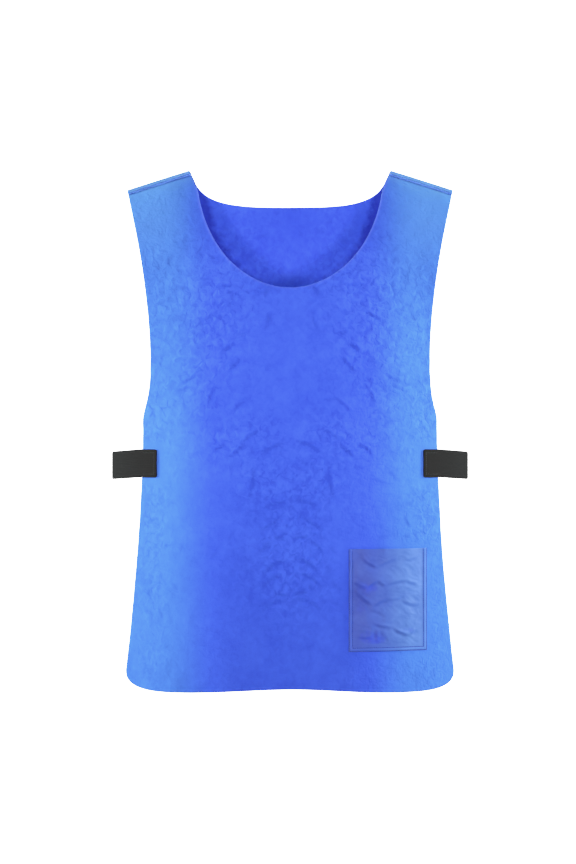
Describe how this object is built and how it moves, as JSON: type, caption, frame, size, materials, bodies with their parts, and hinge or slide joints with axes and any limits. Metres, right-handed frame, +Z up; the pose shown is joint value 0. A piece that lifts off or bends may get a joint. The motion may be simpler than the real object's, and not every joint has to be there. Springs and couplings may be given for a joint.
{
  "type": "cooling vest",
  "caption": "Sleeveless cloth cooling vest in its worn form, with a scooped neck, cut-in armholes, elastic side straps and a patch pocket on the front.",
  "frame": {"origin": "midway between the neck ends of the two shoulders, at the height of the cloth's inner face there, where the vest sits on its wearer", "axes": "+Z up, +X to the wearer's left, -Y to the front"},
  "size_m": [0.461, 0.2254, 0.6635],
  "materials": {
    "vest_cloth": "brushed, slightly crumpled chamois-like cloth, bright blue",
    "strap_elastic": "ribbed black woven elastic",
    "pocket_film": "thin frosted film over the cloth, finely wrinkled, greyer blue"
  },
  "bodies": {
    "root": {"front_panel": "vest_cloth", "back_panel": "vest_cloth", "side_strap_left": "strap_elastic", "side_strap_right": "strap_elastic", "pocket": "pocket_film"}
  },
  "joints": []
}
